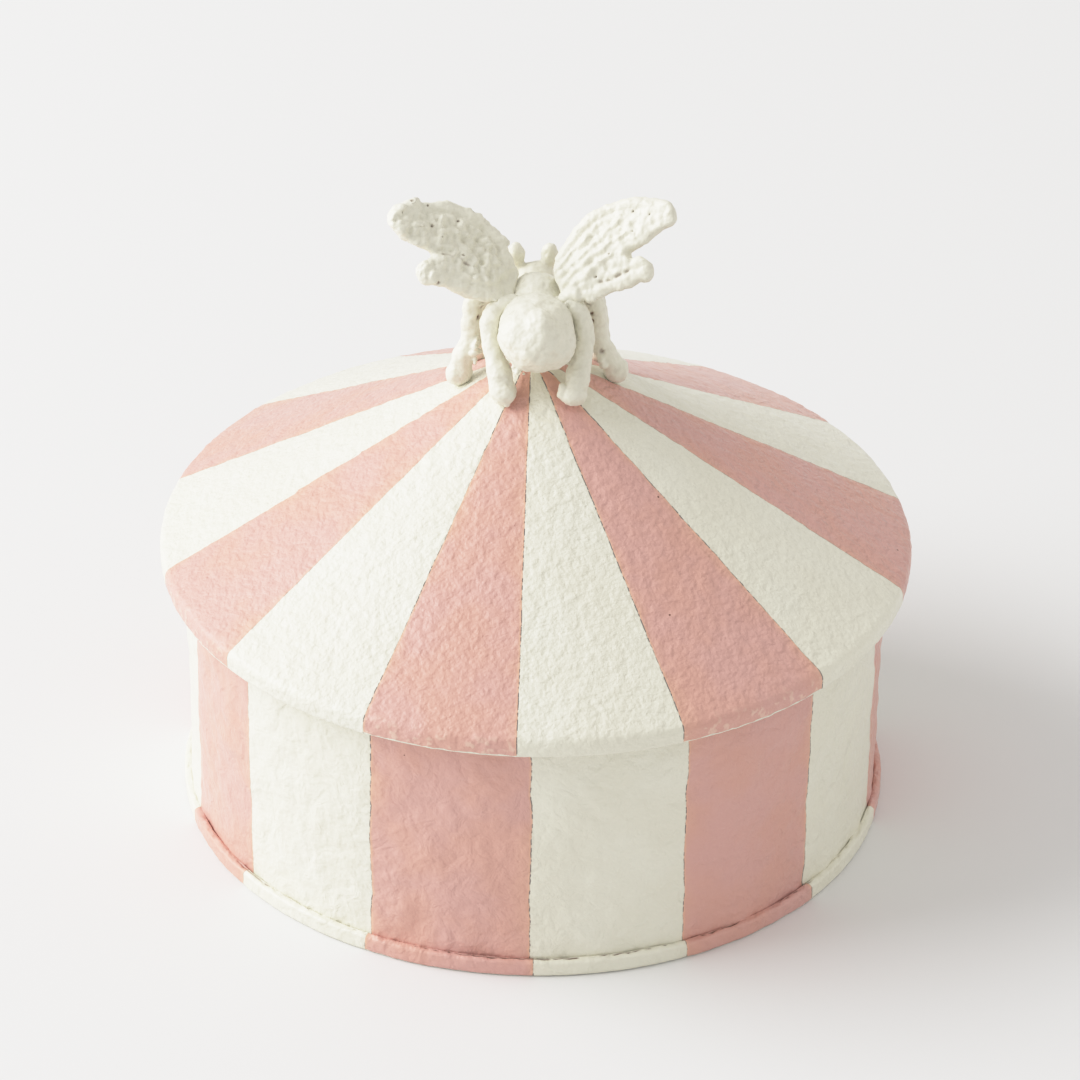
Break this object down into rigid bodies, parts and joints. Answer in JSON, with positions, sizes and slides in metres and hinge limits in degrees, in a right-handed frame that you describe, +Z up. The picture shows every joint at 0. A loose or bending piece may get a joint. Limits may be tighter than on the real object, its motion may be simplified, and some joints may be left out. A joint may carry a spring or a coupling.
{
  "type": "round lidded keepsake box",
  "caption": "Round painted-metal keepsake box with a tent-shaped lid in radial stripes, lifted off by a cast insect knob; upright stripes round the wall and a low hem at the base.",
  "frame": {"origin": "centre of the flat underside of the base pan, where the box stands on a table", "axes": "+Z up along the axis of the box, -Y towards the front, +X to the right seen from the front; the knob's head points to +Y"},
  "size_m": [0.15, 0.15, 0.1297],
  "materials": {
    "box_enamel": "hand-brushed satin enamel, upright stripes of rose pink and off-white, thin dark lines where they meet",
    "lid_enamel": "heavily stippled satin enamel, radial stripes of rose pink and off-white",
    "inside_enamel": "plain off-white satin enamel",
    "knob_enamel": "thick off-white enamel over rough sand-cast metal, pitted and crusty on the wings",
    "zinc_plate": "bright zinc plate"
  },
  "bodies": {
    "box": {"base_pan": "box_enamel", "body_wall": "box_enamel"},
    "lid": {"lid_cone": "lid_enamel", "lid_collar": "inside_enamel", "knob_washer": "zinc_plate", "knob_screw": "zinc_plate", "bee_body": "knob_enamel", "bee_left_wing": "knob_enamel", "bee_right_wing": "knob_enamel", "bee_front_left_leg": "knob_enamel", "bee_middle_left_leg": "knob_enamel", "bee_rear_left_leg": "knob_enamel", "bee_front_right_leg": "knob_enamel", "bee_middle_right_leg": "knob_enamel", "bee_rear_right_leg": "knob_enamel"}
  },
  "joints": [
    {"name": "lid_lift", "type": "slide", "parent": "box", "child": "lid", "axis": [0, 0, 1], "range_m": [0, 0.08]}
  ]
}
